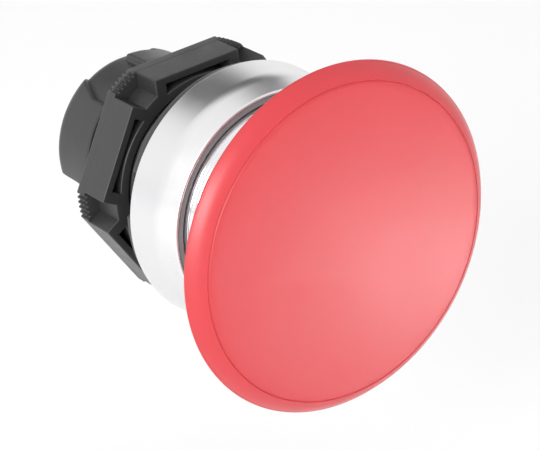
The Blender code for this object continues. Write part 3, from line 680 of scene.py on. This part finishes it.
def barrel_shell():
    """Threaded barrel with a flange, two rear recesses half a turn apart, a short step and a slot."""
    end = span("housing")[0]
    bore = THREAD_RADIUS + TUBE_STEP - TUBE_WALL
    rear_radius = THREAD_RADIUS - REAR_STEP
    socket = rear_radius - REAR_WALL
    step_edge = end + STEP_LENGTH
    per_mm = 180 / (math.pi * rear_radius)
    rows = barrel_rows(end, rear_radius, bore, socket, step_edge)
    columns = barrel_columns(per_mm)
    reach = np.array([row[0] for row in rows])
    base = np.array([row[1] for row in rows])
    in_thread = np.array([row[2] == "thread" for row in rows])
    in_rear = np.array([row[2] == "rear" for row in rows])
    angle = columns[:, None] % 180

    # The thread's crests turn with the columns and fade at both ends.
    turns = reach[None, :] / THREAD_PITCH + columns[:, None] / 360
    tooth = np.clip(0.5 + 0.8 * np.cos(math.tau * turns), 0, 1)
    run_in = np.clip((THREAD_START - reach) / THREAD_RUN_IN, 0, 1)
    run_out = np.clip((reach - THREAD_END) / THREAD_RUN_OUT, 0, 1)
    worn = THREAD_DEPTH * (1 - tooth * (run_in * run_out)[None, :])
    radius = np.where(in_thread[None, :], base[None, :] - worn, base[None, :])

    # The recesses and the step cut the rear barrel down to a floor that rolls in at the end.
    drop = np.clip((end + RECESS_ROLL - reach) / RECESS_ROLL, 0, 1)
    floor_radius = rear_radius - RECESS_DEPTH - RECESS_ROLL_DEPTH * (1 - np.sqrt(1 - drop**2))
    recess = wall((angle - RECESS_START) / per_mm) * wall((RECESS_END - angle) / per_mm)
    beside = (columns[:, None] > STEP_START - 4) & (columns[:, None] < RECESS_START + 4)
    step = wall((angle - STEP_START) / per_mm) * wall(step_edge - reach[None, :]) * beside
    cut = np.maximum(recess, step) * in_rear[None, :]
    radius = radius - np.clip(radius - floor_radius[None, :], 0, None) * cut

    # The wall at the recess's end angle leans: columns near it follow its lead-in.
    lead = np.clip((reach - end) / RECESS_LEAD, 0, 1)
    outside_rear = (reach < NECK_END + 0.05) * (base > socket + CLIP_GROOVE + 0.01)
    shift = (RECESS_MOUTH - RECESS_END) * (1 - lead) * outside_rear
    pull = np.interp(angle, (RECESS_START + 3, RECESS_END - 3, RECESS_END + 3, RECESS_END + 25), (0, 1, 1, 0))
    degrees = columns[:, None] + pull * shift[None, :]

    # The slot ends the wall early: its rows stop at the slot's floor.
    in_slot = wall((columns - SLOT[0]) / per_mm) * wall((SLOT[1] - columns) / per_mm)
    limit = end + SLOT_LENGTH * in_slot
    past = np.clip(limit[:, None] - reach[None, :], 0, None)
    stopped = np.maximum(reach[None, :], limit[:, None]) - SLOT_SPREAD * past
    mesh = grid_mesh("barrel_shell", stopped, radius, degrees)
    return piece("barrel_shell", mesh, black_plastic, "head", "housing")


# ---------------------------------------------------------------- fixing nut
NUT_TURN = 38.0  # degrees: direction of one flat
NUT_FLANGE = 1.6
NUT_FLAT = 13.7  # from the axis to a flat
NUT_CORNER = 15.0  # from the axis to the round corners
NUT_BORE = 11.15
NUT_SLEEVE = 12.4
NUT_POCKET_STEP = 0.7
NUT_POCKET_EDGE = (22.2, 24.2)  # degrees from a flat's middle
NUT_WALL = 0.9
NUT_RIB = 1.4
NUT_SETBACK = 0.4
NUT_SINK = 0.05  # how far the ribs' feet reach inside the bore
NUT_TEETH = 5
TOOTH_DEPTH = 0.4
TOOTH_FLAT = 1.25  # over 1 leaves a flat bottom between two teeth


def nut_body():
    """Six-sided flange with toothed corners, a sleeve, and a ribbed wall on each flat."""
    rear, front = span("fixing_nut")[:2]
    flange_front = rear + NUT_FLANGE
    lean = math.degrees(math.acos(NUT_FLAT / NUT_CORNER))
    sweep = 60 - 2 * lean
    degrees = []
    for side in range(6):
        flat = NUT_TURN + 60 * side
        degrees += list(np.linspace(flat - lean, flat + lean, 18)[:-1])
        degrees += list(np.linspace(flat + lean, flat + 60 - lean, 61)[:-1])

    def off_flat(angle):
        return abs((angle - NUT_TURN + 30) % 60 - 30)

    def outer(angle):
        off = off_flat(angle)
        if off <= lean:
            return NUT_FLAT / math.cos(math.radians(off))
        wave = 0.5 - 0.5 * math.cos(math.tau * NUT_TEETH * (off - lean) / sweep)
        return NUT_CORNER - TOOTH_DEPTH * min(1.0, TOOTH_FLAT * wave)

    def flange(angle):
        size = outer(angle)
        return rounded([
            (flange_front, NUT_BORE, 0.0), (flange_front, size, 0.14), (rear, size, 0.35),
            (rear, NUT_BORE + 0.3, 0.0), (rear + 0.3, NUT_BORE, 0.0),
        ])

    def sleeve(angle):
        size = NUT_SLEEVE + NUT_POCKET_STEP * np.interp(off_flat(angle), NUT_POCKET_EDGE, (0, 1))
        bore, back = NUT_BORE + 0.02, flange_front - 0.3
        return rounded([
            (front, NUT_BORE + 0.25, 0.1), (front, size, 0.18), (back, size, 0.0), (back, bore, 0.0),
            (front - 0.25, bore, 0.0),
        ])

    across = math.sqrt(NUT_CORNER**2 - NUT_FLAT**2) - NUT_SETBACK
    within, inner, back_wall = across - NUT_RIB, NUT_BORE - NUT_SINK, NUT_FLAT - NUT_WALL
    channel = [
        (-across, NUT_FLAT), (across, NUT_FLAT), (across, inner), (within, inner),
        (within, back_wall), (-within, back_wall), (-within, inner), (-across, inner),
    ]
    parts = []
    for side in range(6):
        turn = math.radians(NUT_TURN + 60 * side)
        c, s = math.cos(turn), math.sin(turn)
        outline = [(c * out - s * over, s * out + c * over) for over, out in channel]
        parts.append(prism(f"nut_wall_{side}", outline, flange_front - 0.12, front, 0.13))
    parts.append(shaped("nut_sleeve", np.arange(0, 360, 1.0), sleeve))
    mesh = applied(shaped("nut_body", degrees, flange), "UNION", parts)
    return piece("nut_body", mesh, black_plastic, "nut", "fixing_nut")


# ---------------------------------------------------------------- pusher and its screw, seen from behind
PUSHER_PLATE = 1.4
PUSHER_HUB = (4.2, 5.5)  # its inner and outer radius
PUSHER_DISH = 4.0  # radius of the dish that takes the washer
PUSHER_DISH_DEPTH = 0.4
SCREW_HOLE = 1.8
SCREW_SHANK = 1.5
SCREW_HEAD = 1.4
SCREW_DOME = 0.75
SCREW_PITCH = 0.5
SCREW_THREAD = 0.12  # half the depth
SCREW_TIP = 0.4
CROSS_ARM = (1.8, 0.36, 0.8)  # half length, half width and depth


def pusher_disc():
    """Plate with a ring hub in front and a shallow dish behind."""
    rear, front, radius = span("pusher")
    inner, hub = PUSHER_HUB
    plate, dish = rear + PUSHER_PLATE, rear + PUSHER_DISH_DEPTH
    corners = [
        (plate, SCREW_HOLE, 0.0), (plate, inner, 0.15), (front, inner, 0.15), (front, hub, 0.25),
        (plate, hub, 0.3), (plate, radius, 0.25), (rear, radius, 0.3), (rear, PUSHER_DISH, 0.12),
        (dish, PUSHER_DISH, 0.08), (dish, SCREW_HOLE, 0.0),
    ]
    return piece("pusher_disc", turned("pusher_disc", corners), pale_plastic, "cap", "pusher")


def washer_disc():
    """Plain washer with rounded edges."""
    rear, front, radius = span("pusher_washer")
    corners = [
        (front, SCREW_HOLE, 0.08), (front, radius, 0.12), (rear, radius, 0.12), (rear, SCREW_HOLE, 0.08),
    ]
    return piece("washer_disc", turned("washer_disc", corners, 128), steel, "cap", "pusher_washer")


def cross_arm(turn, reach):
    """Tapered arm of the screw's cross recess, turned around the axis."""
    length, width, depth = CROSS_ARM
    bm = bmesh.new()
    bmesh.ops.create_cube(bm, size=2.0)
    for v in bm.verts:
        deep = v.co.y < 0
        across, up = length - deep * 0.9, width - deep * 0.08
        v.co = Vector((v.co.x * across, v.co.y * depth - reach, v.co.z * up)) * MM
    bmesh.ops.rotate(bm, matrix=Matrix.Rotation(math.radians(turn), 4, "Y"), verts=bm.verts)
    arm = bpy.data.meshes.new("arm")
    bm.to_mesh(arm)
    bm.free()
    return arm


def screw_body():
    """Pan-head screw with a tapered cross recess and a threaded shank."""
    rear, front, radius = span("pusher_screw")
    head_front = rear + SCREW_HEAD
    outline = [(rear, 0.0)]
    for lean in np.linspace(0.05, math.pi / 2, 14):
        outline.append((rear + SCREW_DOME * (1 - math.cos(lean)), radius * math.sin(lean)))
    outline += [(head_front - 0.1, radius), (head_front, radius - 0.1), (head_front, SCREW_SHANK)]
    for s in np.arange(head_front + 0.1, front - SCREW_TIP, SCREW_PITCH / 4):
        wave = 1 - math.cos(math.tau * (s - head_front) / SCREW_PITCH)
        outline.append((s, SCREW_SHANK - SCREW_THREAD * wave))
    outline += [(front, SCREW_SHANK - 0.5), (front, 0.0)]
    arms = [cross_arm(turn, rear) for turn in (0, 90)]
    mesh = applied(spun("screw_body", outline, 96), "DIFFERENCE", arms)
    return piece("screw_body", mesh, steel, "cap", "pusher_screw")


# ---------------------------------------------------------------- spring
SPRING_TURNS = 4.5
WIRE_RADIUS = 0.4
CLOSED_PITCH = 2 * WIRE_RADIUS + 0.05  # of the end turns


def spring_coil():
    """Coil with closed end turns."""
    rear, front, radius = span("return_spring")
    first, last = rear + WIRE_RADIUS, front - WIRE_RADIUS
    middle = radius - WIRE_RADIUS
    points = []
    for turns in np.linspace(0, SPRING_TURNS, 271):
        closed = min(turns, 1.0) - min(SPRING_TURNS - turns, 1.0) + 1.0
        active = min(max(turns - 1.0, 0.0), SPRING_TURNS - 2.0) / (SPRING_TURNS - 2.0)
        reach = first + CLOSED_PITCH * closed + (last - first - 2 * CLOSED_PITCH) * active
        a = math.tau * turns
        points.append((middle * math.cos(a), -reach, middle * math.sin(a)))
    mesh = tube("spring_coil", points, WIRE_RADIUS)
    coil = piece("spring_coil", mesh, spring_steel, "head", "return_spring")
    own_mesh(coil)
    return coil


# ---------------------------------------------------------------- CAD nodes that stay, with finer materials
KEPT = {
    "cap_insert": brass,
    "lock_washer": steel,
    "plunger_stem": steel,
    "stem_circlip": spring_steel,
    "guide_bush": pale_plastic,
    "stem_seal": seal_rubber,
    "spring_washer": steel,
    "latch_seat": pale_plastic,
    "latch_clip": spring_steel,
    "latch_cover": pale_plastic,
    "retaining_ring": spring_steel,
}


def refinish():
    """Give the CAD nodes that stay their materials."""
    for name, finish in KEPT.items():
        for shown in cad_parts[name].material_slots:
            shown.material = finish


# ---------------------------------------------------------------- floor, light and camera
FLOOR_GAP = 0.03  # metres, from the button's lowest point down to the floor
FLOOR_HALF = 3.0  # metres
# A direction's products with these two are both zero in the middle of the sky's dim patch. A longer one
# makes the patch narrower that way.
DIM_PATCH = ((-2.70, -1.44, 2.09), (-0.533, 1.762, -1.227))
DIM_EDGE = (0.80, 1.40)  # joint length of the two products where the sky stops being black, and is white
SKY = 1.05
CAMERA_PLACE = (-0.14539, -0.20795, 0.10052)  # metres
CAMERA_TURN = 35.847  # degrees to the left of the button's axis
CAMERA_TILT = 22.554  # degrees down


def floor():
    """White floor below the button."""
    height = Vector(cad_box[0]).z - FLOOR_GAP
    corners = [(x * FLOOR_HALF, y * FLOOR_HALF, height) for x, y in ((-1, -1), (1, -1), (1, 1), (-1, 1))]
    mesh = bpy.data.meshes.new("floor")
    mesh.from_pydata(corners, [], [(0, 1, 2, 3)])
    made, tree, shader = surface("floor_white", 0.7)
    cloud = noise(tree, place(tree), 3.0, 2.0)
    mottle(tree, shader, cloud, (0.97, 0.97, 0.97), (0.99, 0.99, 0.99))
    mesh.materials.append(made)
    ground = bpy.data.objects.new("floor", mesh)
    bpy.context.scene.collection.objects.link(ground)


def soft_light(name, at, size, power, aim=(0.0, 0.0, 0.0), opening=180.0):
    """Square soft box that faces a point; a small opening, in degrees, narrows its beam."""
    light = bpy.data.lights.new(name, "AREA")
    light.spread = math.radians(opening)
    light.shape = "SQUARE"
    light.size = size
    light.energy = power
    holder = bpy.data.objects.new(name, light)
    holder.location = at
    holder.rotation_euler = (Vector(aim) - Vector(at)).to_track_quat("-Z", "Y").to_euler()
    bpy.context.scene.collection.objects.link(holder)


def studio():
    """White sky, dim high up behind the button, a soft box at the left and a lit pool on the floor."""
    world = bpy.data.worlds.new("studio")
    world.use_nodes = True
    tree = world.node_tree
    back = tree.nodes["Background"]
    back.inputs["Color"].default_value = (1.0, 1.0, 1.0, 1.0)
    toward = add(tree, "TexCoord").outputs["Generated"]
    across, along = [
        add(tree, "VectorMath", {"operation": "DOT_PRODUCT"}, i0=toward, i1=axis).outputs["Value"]
        for axis in DIM_PATCH
    ]
    offset = add(tree, "CombineXYZ", X=across, Y=along, Z=0.0)
    size = add(tree, "VectorMath", {"operation": "LENGTH"}, i0=offset.outputs["Vector"])
    sky = add(
        tree, "MapRange", {"clamp": True, "interpolation_type": "SMOOTHSTEP"}, Value=size.outputs["Value"],
        **{"From Min": DIM_EDGE[0], "From Max": DIM_EDGE[1], "To Min": 0.0, "To Max": SKY}
    )
    tree.links.new(sky.outputs["Result"], back.inputs["Strength"])
    bpy.context.scene.world = world
    soft_light("left_light", at=(-0.50, -0.26, 0.16), size=0.30, power=2.4)
    soft_light(
        "pool_light", at=(0.082, -0.094, 0.30), size=0.05, power=0.13,
        aim=(0.082, -0.094, -0.02), opening=20.0
    )
    bpy.context.scene.view_settings.view_transform = "Standard"


def camera():
    """The reference view: from the front left, looking down, with a long lens."""
    seen = bpy.data.cameras.new("camera")
    seen.lens = 160.0
    seen.sensor_width = 36.0
    seen.clip_start = 0.01
    holder = bpy.data.objects.new("camera", seen)
    turn, tilt = math.radians(CAMERA_TURN), math.radians(CAMERA_TILT)
    right = Vector((math.cos(turn), -math.sin(turn), 0.0))
    up = Vector((math.sin(tilt) * math.sin(turn), math.sin(tilt) * math.cos(turn), math.cos(tilt)))
    axes = Matrix((right, up, right.cross(up))).transposed()
    holder.matrix_world = Matrix.Translation(CAMERA_PLACE) @ axes.to_4x4()
    bpy.context.scene.collection.objects.link(holder)
    bpy.context.scene.camera = holder


for build in (
    red_cap, sleeve_tube, wiper_lip, bezel_shell, seal_gasket, barrel_shell, nut_body, pusher_disc,
    washer_disc, screw_body, spring_coil, refinish, floor, studio, camera,
):
    build()
